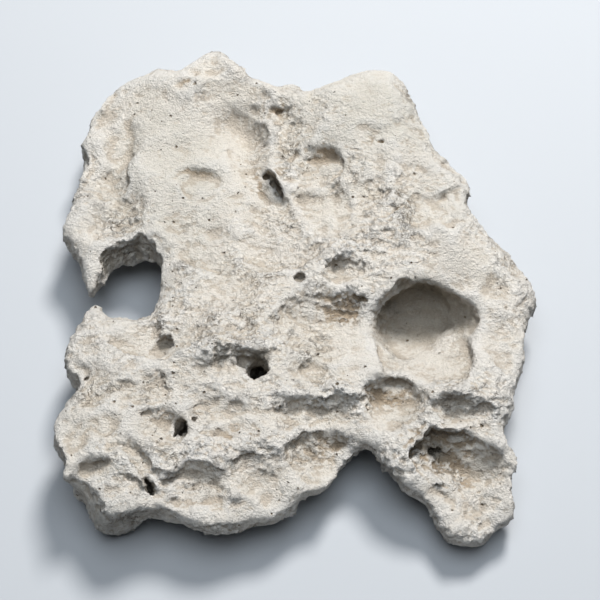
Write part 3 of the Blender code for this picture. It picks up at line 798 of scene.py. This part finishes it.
def cut_holes(obj):
    """Cuts the deep pit and the holes, and puts the surface on an even grid again."""
    cutters = bpy.data.collections.new("cutters")
    bpy.context.scene.collection.children.link(cutters)
    for number, cut in enumerate([*CUTS, *pock_cuts(obj.data)], 1):
        add_cutter(cut, cutters, number)
    add_modifier(
        obj, "BOOLEAN", operation="DIFFERENCE", solver="MANIFOLD",
        operand_type="COLLECTION", collection=cutters,
    )
    add_modifier(
        obj, "REMESH", mode="VOXEL", voxel_size=bpy.context.scene.holey_stone.carving_voxel
    )
    apply_modifiers(obj)
    for cutter in list(cutters.objects):
        bpy.data.objects.remove(cutter, do_unlink=True)
    bpy.data.collections.remove(cutters)


def soften_edges(mesh):
    points = coordinates(mesh)
    weight = np.clip(SOFT_CORE * spot_field(points, SOFT_EDGES), 0, 1)[:, None]
    soft = smoothed(points, edge_ends(mesh), SOFT_STEPS)
    set_coordinates(mesh, points + (soft - points) * weight)


def crumbliness(mesh):
    """How rough the surface is, 0 to 1: least where calm, most on ledges and ridges."""
    points = coordinates(mesh)
    patches = np.array([noise.noise(Vector(point) / CRUMBLY_PATCH) for point in points])
    steep = np.clip(STEEP_START - normals(mesh)[:, 2] * STEEP_RATE, 0, 1)
    rough = CRUMBLY_ALL + CRUMBLY_PATCHES * patches + CRUMBLY_STEEP * steep
    rough = rough + CRUMBLY_SPOTS * spot_field(points, CRUMBLY)
    return np.clip(rough * (1 - CALMING * spot_field(points, CALM)), LEAST_CRUMBLY, 1)


def store_masks(mesh):
    """Where the surface is cupped, crumbly and clear of the feet."""
    points = coordinates(mesh)
    stirred = 1 - CALMING * spot_field(points, CALM)
    crumbly = crumbliness(mesh)
    for name, (base, more) in (("cupped", CUPPED), ("small_cupped", SMALL_CUPPED)):
        store(mesh, name, stirred * (base + more * crumbly))
    store(mesh, "crumbly", crumbly)
    store(mesh, "off_the_feet", np.clip(points[:, 2] / FADE_LEVEL, 0, 1))


def flatten_feet(mesh):
    """Nothing reaches under the floor, and the worn feet are flat on it."""
    points = coordinates(mesh)
    points[points[:, 2] < FOOT_LEVEL, 2] = 0.0
    set_coordinates(mesh, points)


def thin_out(obj, triangles):
    """Fewer triangles, and the fewest where the surface looks down."""
    upward = normals(obj.data)[:, 2]
    group = obj.vertex_groups.new(name="hidden")
    for weight, those in ((1.0, upward < HIDDEN_SLOPE), (SEEN_WEIGHT, upward >= HIDDEN_SLOPE)):
        for index in np.flatnonzero(those):
            group.add([int(index)], weight, "REPLACE")
    obj.data.calc_loop_triangles()
    ratio = min(1.0, triangles / len(obj.data.loop_triangles))
    add_modifier(obj, "DECIMATE", ratio=ratio, vertex_group=group.name)
    apply_modifiers(obj)


def drop_slivers(mesh):
    """Closes up the edges and faces that the cuts left without length or area."""
    bm = bmesh.new()
    bm.from_mesh(mesh)
    bmesh.ops.dissolve_degenerate(bm, dist=SLIVER, edges=bm.edges)
    bmesh.ops.triangulate(bm, faces=bm.faces)
    same_corners = {}
    for face in bm.faces:
        same_corners.setdefault(frozenset(face.verts), []).append(face)
    flaps = [face for faces in same_corners.values() if len(faces) > 1 for face in faces]
    bmesh.ops.delete(bm, geom=flaps, context="FACES")
    bm.to_mesh(mesh)
    bm.free()


# Node trees


SOCKET_KINDS = {
    "Geometry": "NodeSocketGeometry",
    "Material": "NodeSocketMaterial",
    "Seed": "NodeSocketInt",
}


def new_tree(name, kind, inputs, outputs):
    """A node tree with named sockets, and the outputs of its input node."""
    tree = bpy.data.node_groups.new(name, kind)
    for side, names in (("INPUT", inputs), ("OUTPUT", outputs)):
        for socket in names:
            socket_type = SOCKET_KINDS.get(socket, "NodeSocketFloat")
            tree.interface.new_socket(name=socket, in_out=side, socket_type=socket_type)
    return tree, tree.nodes.new("NodeGroupInput").outputs


def add_node(tree, kind, values=None, **settings):
    """A node with its settings, and its inputs set or linked by name or number."""
    node = tree.nodes.new(kind)
    for name, value in settings.items():
        setattr(node, name, value)
    for name, value in (values or {}).items():
        if isinstance(value, bpy.types.NodeSocket):
            tree.links.new(value, node.inputs[name])
        else:
            node.inputs[name].default_value = value
    return node


def calculate(tree, operation, *values, clamp=False):
    settings = {"operation": operation, "use_clamp": clamp}
    return add_node(tree, "ShaderNodeMath", dict(enumerate(values)), **settings).outputs[0]


def times(tree, first, second):
    return calculate(tree, "MULTIPLY", first, second)


def times_plus(tree, first, second, third):
    return calculate(tree, "MULTIPLY_ADD", first, second, third)


def add_up(tree, total, *values):
    for value in values:
        total = calculate(tree, "ADD", total, value)
    return total


def vector_math(tree, operation, first, second):
    values = {0: first, "Scale" if operation == "SCALE" else 1: second}
    return add_node(tree, "ShaderNodeVectorMath", values, operation=operation).outputs[0]


def ramp(tree, value, low, high, out_low=0.0, out_high=1.0):
    """The value mapped from low..high to out_low..out_high, with smooth ends."""
    values = {
        "Value": value, "From Min": low, "From Max": high, "To Min": out_low, "To Max": out_high,
    }
    return add_node(
        tree, "ShaderNodeMapRange", values, interpolation_type="SMOOTHSTEP"
    ).outputs[0]


def blend(tree, value, name):
    return ramp(tree, value, *BLENDS[name])


def clouds(tree, place, scale=1.0, detail=2.0, roughness=0.5, distortion=0.0):
    values = {
        "Vector": place, "Scale": scale, "Detail": detail, "Roughness": roughness,
        "Distortion": distortion,
    }
    return add_node(tree, "ShaderNodeTexNoise", values).outputs


def cells(tree, place):
    values = {"Vector": place, "Scale": 1.0}
    return add_node(tree, "ShaderNodeTexVoronoi", values, feature="F1").outputs


def in_units_of(tree, place, size):
    return vector_math(tree, "SCALE", place, calculate(tree, "DIVIDE", 1.0, size))


def swayed(tree, place, amount, scale=1.0, detail=2.0):
    """The place shifted by a soft noise, so that no cell keeps a straight side."""
    sway = clouds(tree, place, scale, detail)["Color"]
    sway = vector_math(tree, "SUBTRACT", sway, (0.5, 0.5, 0.5))
    return vector_math(tree, "ADD", place, vector_math(tree, "SCALE", sway, amount))


def squared_and_headward(tree, place, cell):
    """The distance from a cell's middle, squared, and how far the place is towards +Y."""
    local = vector_math(tree, "SUBTRACT", place, cell["Position"])
    headward = add_node(tree, "ShaderNodeSeparateXYZ", {0: local}).outputs["Y"]
    return calculate(tree, "POWER", cell["Distance"], 2.0), headward


def named_values(tree, name):
    kind = "GeometryNodeInputNamedAttribute"
    return add_node(tree, kind, {"Name": name}, data_type="FLOAT").outputs["Attribute"]


def end_tree(tree, geometry, material):
    whole = add_node(tree, "GeometryNodeRealizeInstances", {0: geometry})
    values = {"Geometry": whole.outputs[0], "Material": material}
    made = add_node(tree, "GeometryNodeSetMaterial", values)
    add_node(tree, "NodeGroupOutput", {0: made.outputs[0]})


def apply_tree(obj, tree, settings, material=None):
    """Runs a geometry tree on the object once, with the settings of its inputs' names."""
    modifier = obj.modifiers.new(tree.name, "NODES")
    modifier.node_group = tree
    for item in tree.interface.items_tree:
        key = item.name.lower().replace(" ", "_")
        if item.in_out == "INPUT" and hasattr(settings, key):
            modifier[item.identifier] = getattr(settings, key)
        elif item.name == "Material" and material:
            modifier[item.identifier] = material
    apply_modifiers(obj)


def weathering_tree():
    """Moves the surface in and out: cups, crumbs and grain, each where the masks allow."""
    sizes = ("Cup Size", "Crumb Size", "Grain Size")
    depths = ("Cup Depth", "Crumb Depth", "Bump Depth", "Grain Depth")
    tree, given = new_tree(
        "weathering", "GeometryNodeTree", ("Geometry", *sizes, *depths, "Material"), ["Geometry"]
    )
    place = tree.nodes.new("GeometryNodeInputPosition").outputs[0]
    normal = tree.nodes.new("GeometryNodeInputNormal").outputs[0]
    cup_size, crumb_size, grain_size = (given[name] for name in sizes)
    cup_depth, crumb_depth, bump_depth, grain_depth = (given[name] for name in depths)

    def cups(size, amount):
        cell = cells(tree, swayed(tree, in_units_of(tree, place, size), amount, detail=1.0))
        squared = calculate(tree, "POWER", cell["Distance"], 2.0)
        return times_plus(tree, squared, *CUP_SHAPE)

    def bumps(size, *shape):
        found = clouds(tree, in_units_of(tree, place, size), 1.0, *shape)
        return times_plus(tree, found[0], 2.0, -1.0)

    def steps(size, amount):
        """Small ledges: each cell rises towards -Y and drops at the head of the next one."""
        near = swayed(tree, in_units_of(tree, place, size), amount, detail=1.0)
        near = vector_math(tree, "MULTIPLY", near, STEP_STRETCH)
        squared, headward = squared_and_headward(tree, near, cells(tree, near))
        return calculate(tree, "SUBTRACT", times_plus(tree, squared, *STEP_SHAPE), headward)

    crumbly = named_values(tree, "crumbly")
    cup = times(tree, cups(cup_size, CUP_SWAY), cup_depth)
    cup = times(tree, cup, named_values(tree, "cupped"))
    small_cup = steps(times(tree, cup_size, SMALL_CUP), SMALL_CUP_SWAY)
    small_cup = times(tree, small_cup, cup_depth)
    small_cup = times(tree, small_cup, named_values(tree, "small_cupped"))
    crumb = times(tree, bumps(crumb_size, *BUMP_NOISE), bump_depth)
    chip = times(tree, steps(crumb_size, CRUMB_SWAY), crumb_depth)
    crumb = times(tree, add_up(tree, crumb, chip), crumbly)
    grain = times(tree, bumps(grain_size, *GRAIN_NOISE), grain_depth)
    grain = times(tree, grain, times_plus(tree, crumbly, *GRAINY))
    rise = add_up(tree, cup, small_cup, crumb, grain)
    rise = times(tree, rise, named_values(tree, "off_the_feet"))
    moved = add_node(
        tree, "GeometryNodeSetPosition",
        {"Geometry": given["Geometry"], "Offset": vector_math(tree, "SCALE", normal, rise)},
    )
    end_tree(tree, moved.outputs[0], given["Material"])
    return tree


def pore_tree():
    """Scatters small rough ellipsoids over the surface, most where the mask is high."""
    inputs = ("Geometry", "Spacing", "Density", "Smallest", "Largest", "Seed", "Material")
    tree, given = new_tree("pores", "GeometryNodeTree", inputs, ["Geometry"])
    seed, smallest = given["Seed"], given["Smallest"]
    points = add_node(
        tree, "GeometryNodeDistributePointsOnFaces",
        {
            "Mesh": given["Geometry"], "Distance Min": given["Spacing"], "Seed": seed,
            "Density Max": given["Density"], "Density Factor": named_values(tree, "porous"),
        },
        distribute_method="POISSON",
    ).outputs
    ball = add_node(tree, "GeometryNodeMeshIcoSphere", {"Radius": 1.0, "Subdivisions": 2})

    def chance(kind, values):
        return add_node(tree, "FunctionNodeRandomValue", {**values, "Seed": seed}, data_type=kind)

    rare = calculate(tree, "POWER", chance("FLOAT", {}).outputs[1], PORE_RARITY)
    span = calculate(tree, "SUBTRACT", given["Largest"], smallest)
    radius = times_plus(tree, rare, span, smallest)
    stretch = chance("FLOAT_VECTOR", dict(enumerate(PORE_STRETCH))).outputs[0]
    spin = chance("FLOAT", {2: 0.0, 3: math.tau}).outputs[1]
    spin = add_node(tree, "FunctionNodeAxisAngleToRotation", {"Axis": (0, 0, 1), "Angle": spin})
    turned = add_node(
        tree, "FunctionNodeRotateRotation",
        {"Rotation": points["Rotation"], "Rotate By": spin.outputs[0]}, rotation_space="LOCAL",
    )
    placed = add_node(
        tree, "GeometryNodeInstanceOnPoints",
        {
            "Points": points["Points"], "Instance": ball.outputs[0],
            "Rotation": turned.outputs[0],
            "Scale": vector_math(tree, "SCALE", stretch, radius),
        },
    )
    end_tree(tree, placed.outputs[0], given["Material"])
    return tree


# Materials


def grain_group():
    """Fine relief and colour grain of dry limestone, from object coordinates."""
    group, given = new_tree(
        "limestone grain", "ShaderNodeTree", ["Size", "Crumbs"],
        ["Height", "Grain", "Mottle", "Crack"],
    )
    place = group.nodes.new("ShaderNodeTexCoord").outputs["Object"]
    near = in_units_of(group, place, given["Size"])
    fine = clouds(group, near, *NOISES["grain"])[0]
    bent = swayed(group, near, *GRAIN_SWAY)
    half = vector_math(group, "SCALE", bent, 0.5)
    squared, headward = squared_and_headward(group, half, cells(group, half))
    steps = times(group, calculate(group, "SUBTRACT", squared, headward), given["Crumbs"])
    vein = calculate(group, "SUBTRACT", clouds(group, bent, *NOISES["crack"])[0], 0.5)
    vein = blend(group, calculate(group, "ABSOLUTE", vein), "crack")
    patches = clouds(group, near, *NOISES["crack patches"])[0]
    vein = times(group, vein, blend(group, patches, "crack patches"))
    vein = times(group, vein, blend(group, given["Crumbs"], "crack crumbs"))
    mottle = clouds(group, near, *NOISES["mottle"])[0]
    height = times_plus(group, steps, STEP_BUMP, fine)
    height = times_plus(group, vein, CRACK_BUMP, height)
    values = {"Height": height, "Grain": fine, "Mottle": mottle, "Crack": vein}
    add_node(group, "NodeGroupOutput", values)
    return group


def speckle_group():
    """Painted shade of tiny pores: a mask that is 1 in a pore, in scattered patches."""
    group, given = new_tree(
        "limestone specks", "ShaderNodeTree", ["Size", "Share"], ["Mask"]
    )
    place = group.nodes.new("ShaderNodeTexCoord").outputs["Object"]
    near = swayed(group, in_units_of(group, place, given["Size"]), *SPECK_SWAY)
    cell = cells(group, near)
    chosen = add_node(group, "ShaderNodeSeparateColor", {0: cell["Color"]}).outputs
    patches = clouds(group, near, *NOISES["speck patches"])[0]
    share = blend(group, patches, "speck patches")
    share = times(group, given["Share"], share)
    picked = calculate(group, "LESS_THAN", chosen[0], share)
    size = blend(group, chosen[1], "speck size")
    inner = times(group, size, SPECK_CORE)
    spot = calculate(group, "SUBTRACT", cell["Distance"], inner)
    spot = calculate(group, "DIVIDE", spot, calculate(group, "SUBTRACT", size, inner))
    spot = calculate(group, "SUBTRACT", 1.0, spot, clamp=True)
    mask = calculate(group, "MULTIPLY", spot, picked, clamp=True)
    add_node(group, "NodeGroupOutput", {"Mask": mask})
    return group


def mix_colors(tree, factor, first, second):
    values = {0: factor, 6: first, 7: second}
    return add_node(tree, "ShaderNodeMix", values, data_type="RGBA").outputs[2]


def attribute(tree, name):
    return add_node(tree, "ShaderNodeAttribute", attribute_name=name).outputs["Fac"]


def place_group(tree, group, **values):
    return add_node(tree, "ShaderNodeGroup", values, node_tree=group).outputs


def new_material(name, roughness, shine):
    """A dull material, its node tree and its shader's inputs."""
    material = bpy.data.materials.new(name)
    material.use_nodes = True
    inputs = material.node_tree.nodes["Principled BSDF"].inputs
    inputs["Roughness"].default_value = roughness
    inputs["Specular IOR Level"].default_value = shine
    return material, material.node_tree, inputs


def limestone_material(settings, grains, speckles):
    """Chalky stone: mottled cream, rubbed crests, silt and stains; painted shade in pits, pores
    and specks, and on the back and the front wall.
    """
    material, tree, shader = new_material("limestone", settings.roughness, SHINE)
    crumbs = attribute(tree, "crumbs")
    grain = place_group(tree, grains, Size=FINE_GRAIN, Crumbs=crumbs)
    coarse = place_group(tree, grains, Size=COARSE_GRAIN, Crumbs=crumbs)
    specks = place_group(tree, speckles, Size=SPECK_SPACING, Share=SPECK_SHARE)["Mask"]
    fine, relief, broad = (attribute(tree, name) for name in RELIEFS)
    warm = blend(tree, coarse["Mottle"], "warm")
    color = mix_colors(tree, warm, settings.chalk, settings.warm_chalk)
    hollow = times(tree, broad, HOLLOW_BROAD)
    hollow = add_up(tree, hollow, times(tree, relief, HOLLOW_RELIEF))
    silt = blend(tree, hollow, "silt")
    silt = times(tree, silt, blend(tree, coarse["Grain"], "silt breaks"))
    color = mix_colors(tree, silt, color, settings.silt)
    crest = (times(tree, scale, CREST) for scale in (broad, relief, fine))
    rubbed = blend(tree, add_up(tree, *crest, attribute(tree, "rubbed")), "dust")
    rubbed = times(tree, rubbed, blend(tree, grain["Mottle"], "dust breaks"))
    color = mix_colors(tree, rubbed, color, settings.dust)
    # painted shade: a dull grey over the back and the front wall, broken up by the mottle
    film = blend(tree, attribute(tree, "filmed"), "film")
    film = times(tree, film, blend(tree, coarse["Mottle"], "film breaks"))
    color = mix_colors(tree, film, color, settings.film)
    stained = add_up(
        tree, attribute(tree, "stained"),
        times_plus(tree, grain["Mottle"], *STAIN_MOTTLE),
        times_plus(tree, grain["Grain"], *STAIN_GRAIN),
        times(tree, fine, STAIN_FINE), times(tree, relief, STAIN_RELIEF),
    )
    color = mix_colors(tree, blend(tree, stained, "stain"), color, settings.stain)
    # browner in the fine hollows
    low = blend(tree, times(tree, fine, -1.0), "fine hollow browning")
    color = mix_colors(tree, low, color, settings.stain)
    # browner along the cracks
    color = mix_colors(tree, times(tree, coarse["Crack"], CRACK_BROWNING), color, settings.stain)
    # painted shade deep in the pits and holes, and in the broad hollows
    dirty = times_plus(tree, broad, BROAD_PIT_SHADE, attribute(tree, "dirty"))
    color = mix_colors(tree, blend(tree, dirty, "dirt"), color, settings.dirt)
    # painted shade of tiny pores: the specks take the dark pore colour
    color = mix_colors(tree, specks, color, settings.lining)
    light = calculate(tree, "ADD", blend(tree, grain["Grain"], "light"), 1.0)
    bright = add_node(tree, "ShaderNodeHueSaturation", {"Value": light, "Color": color})
    tree.links.new(bright.outputs[0], shader["Base Color"])

    roughness = (settings.roughness - SMOOTHEST, settings.roughness)
    rough = ramp(tree, grain["Grain"], *BLENDS["roughness"], *roughness)
    tree.links.new(rough, shader["Roughness"])
    height = add_up(tree, grain["Height"], times(tree, coarse["Height"], COARSE_BUMP))
    height = add_up(tree, height, times(tree, specks, SPECK_BUMP))
    add_bump(tree, shader, 1.0, BUMP_HEIGHT, height)
    return material


def add_bump(tree, shader, strength, distance, height):
    values = {"Strength": strength, "Distance": distance, "Height": height}
    tree.links.new(add_node(tree, "ShaderNodeBump", values).outputs[0], shader["Normal"])


def lining_material(settings, grains):
    """Painted shade inside the pores: a dark brown, mottled with the stain."""
    material, tree, shader = new_material("pore lining", settings.roughness, LINING_SHINE)
    grain = place_group(tree, grains, Size=LINING_GRAIN, Crumbs=0.5)
    stained = blend(tree, grain["Grain"], "lining stain")
    color = mix_colors(tree, stained, settings.lining, settings.stain)
    tree.links.new(color, shader["Base Color"])
    add_bump(tree, shader, 0.5, LINING_BUMP_HEIGHT, grain["Height"])
    return material


def floor_material(settings):
    material, _, shader = new_material("studio floor", FLOOR_ROUGHNESS, FLOOR_SHINE)
    shader["Base Color"].default_value = settings.floor_color
    return material


# Operators


class HOLEY_OT_stone(bpy.types.Operator):
    """Carve and weather the stone over its frame"""

    bl_idname = "holey.stone"
    bl_label = "Carve and weather the stone"

    def execute(self, context):
        settings = context.scene.holey_stone
        stone = merged_copy(frame["nodes"][NODE], PIECE)
        add_modifier(stone, "REMESH", mode="VOXEL", voxel_size=BASE_VOXEL)
        add_modifier(stone, "SMOOTH", factor=0.5, iterations=BASE_SMOOTHING)
        apply_modifiers(stone)
        for shape in (draw_out_wall, nudge, fill_floors, press_scallops):
            shape(stone.data)
        cut_holes(stone)
        soften_edges(stone.data)
        store_masks(stone.data)
        apply_tree(stone, weathering_tree(), settings)
        flatten_feet(stone.data)
        thin_out(stone, settings.triangles)
        return {"FINISHED"}


class HOLEY_OT_surface(bpy.types.Operator):
    """Scatter the pores and give the stone its limestone"""

    bl_idname = "holey.surface"
    bl_label = "Pores and limestone"

    def execute(self, context):
        scene = context.scene
        stone = bpy.data.objects[PIECE]
        grains = grain_group()
        stone.data.materials.clear()
        stone.data.materials.append(
            limestone_material(scene.holey_limestone, grains, speckle_group())
        )
        cut_pores(stone, scene.holey_pores, lining_material(scene.holey_limestone, grains))
        flatten_feet(stone.data)
        drop_slivers(stone.data)
        store_relief(stone.data)
        store_colors(stone.data)
        stone.data.shade_smooth()
        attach(stone, BODY)
        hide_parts(NODE)
        return {"FINISHED"}


def cut_pores(stone, settings, lining):
    points = coordinates(stone.data)
    patches = np.array(
        [noise.noise(Vector(point) / PORE_PATCH + Vector((9, 0, 0))) for point in points]
    )
    porous = PORE_STEEPNESS * (patches - PORE_LEVEL)
    porous = porous + PORES_IN_STAINS * spot_field(points, STAINS)
    porous = np.clip(porous, LEAST_POROUS, 1) * (1 - PORE_CALMING * spot_field(points, CALM))
    store(stone.data, "porous", porous)
    cutters = link(bpy.data.objects.new("pore cutters", stone.data.copy()))
    apply_tree(cutters, pore_tree(), settings, lining)
    add_modifier(
        stone, "BOOLEAN", operation="DIFFERENCE", solver="MANIFOLD", object=cutters,
        material_mode="TRANSFER",
    )
    apply_modifiers(stone)
    bpy.data.objects.remove(cutters, do_unlink=True)


def store_colors(mesh):
    points = coordinates(mesh)
    store(mesh, "stained", spot_field(points, STAINS))
    store(mesh, "rubbed", RUBBED * spot_field(points, CRUMBLY))
    # painted shade: in the pits and holes, and on the back and the front wall
    store(mesh, "dirty", spot_field(points, SHADED_PITS))
    store(mesh, "filmed", spot_field(points, PAINTED_SHADE))
    store(mesh, "crumbs", crumbliness(mesh))


class HOLEY_OT_stage(bpy.types.Operator):
    """Set the floor, the soft lights and the camera"""

    bl_idname = "holey.stage"
    bl_label = "Floor, lights and camera"

    def execute(self, context):
        settings = context.scene.holey_studio
        add_floor(settings)
        add_lights(settings)
        add_camera(settings)
        return {"FINISHED"}


FLOOR_SIZE = 6.0
KEY_DISTANCE = 1.3
KEY_COLOR = (1.0, 0.98, 0.955)
FILL_HEIGHT = 1.4
CAMERA_TARGET = Vector((0.0012, -0.0120, 0.030))
SENSOR = 36.0


def from_target(azimuth, elevation, distance):
    """A place round the camera's target; azimuth 0 is towards +Y and 90 towards +X."""
    level = math.cos(elevation) * distance
    height = math.sin(elevation) * distance
    return CAMERA_TARGET + Vector((math.sin(azimuth) * level, math.cos(azimuth) * level, height))


def add_looking(name, data, place):
    """A lamp or camera at a place, turned to the camera's target."""
    obj = link(bpy.data.objects.new(name, data))
    obj.location = place
    obj.rotation_euler = (CAMERA_TARGET - obj.location).to_track_quat("-Z", "Y").to_euler()
    return obj


def add_floor(settings):
    bm = bmesh.new()
    bmesh.ops.create_grid(bm, x_segments=1, y_segments=1, size=FLOOR_SIZE / 2)
    mesh = new_mesh(bm, "studio_floor")
    mesh.materials.append(floor_material(settings))
    link(bpy.data.objects.new("studio_floor", mesh))


def add_disk_light(name, power, size, color, place):
    light = bpy.data.lights.new(name, "AREA")
    light.shape = "DISK"
    light.size = size
    light.energy = power
    light.color = color
    add_looking(name, light, place)


def add_lights(settings):
    key_place = from_target(settings.key_azimuth, settings.key_elevation, KEY_DISTANCE)
    add_disk_light("key", settings.key_power, settings.key_size, KEY_COLOR, key_place)
    fill_place = CAMERA_TARGET + Vector((0, 0, FILL_HEIGHT))
    fill_color = settings.fill_color[:3]
    add_disk_light("fill", settings.fill_power, settings.fill_size, fill_color, fill_place)
    world = bpy.data.worlds.new("haze")
    world.use_nodes = True
    background = world.node_tree.nodes["Background"]
    background.inputs["Color"].default_value = settings.fill_color
    background.inputs["Strength"].default_value = settings.haze
    bpy.context.scene.world = world


def add_camera(settings):
    data = bpy.data.cameras.new("camera")
    data.sensor_width = SENSOR
    data.lens = SENSOR / 2 / math.tan(settings.camera_half_angle)
    data.clip_start = 0.01
    place = from_target(math.pi, settings.camera_elevation, settings.camera_distance)
    bpy.context.scene.camera = add_looking("camera", data, place)
    bpy.context.scene.view_settings.view_transform = "Standard"


STEPS = (
    ("holey_stone", "holey.stone"),
    ("holey_pores holey_limestone", "holey.surface"),
    ("holey_studio", "holey.stage"),
)
OPERATORS = (HOLEY_OT_stone, HOLEY_OT_surface, HOLEY_OT_stage)


class HOLEY_PT_panel(bpy.types.Panel):
    """Settings and steps of the stone, in the sidebar"""

    bl_idname = "HOLEY_PT_panel"
    bl_label = "Holey Limestone"
    bl_space_type = "VIEW_3D"
    bl_region_type = "UI"
    bl_category = "Holey Limestone"

    def draw(self, context):
        for names, operator in STEPS:
            box = self.layout.box()
            for name in names.split():
                for key in SETTINGS[name].__annotations__:
                    box.prop(getattr(context.scene, name), key)
            box.operator(operator)


def register():
    for name, group in SETTINGS.items():
        bpy.utils.register_class(group)
        setattr(bpy.types.Scene, name, PointerProperty(type=group))
    for listed in (*OPERATORS, HOLEY_PT_panel):
        bpy.utils.register_class(listed)


def unregister():
    for listed in (HOLEY_PT_panel, *reversed(OPERATORS)):
        bpy.utils.unregister_class(listed)
    for name, group in reversed(SETTINGS.items()):
        delattr(bpy.types.Scene, name)
        bpy.utils.unregister_class(group)


def main():
    register()
    bpy.ops.holey.stone()
    bpy.ops.holey.surface()
    bpy.ops.holey.stage()


if __name__ == "__main__":
    main()
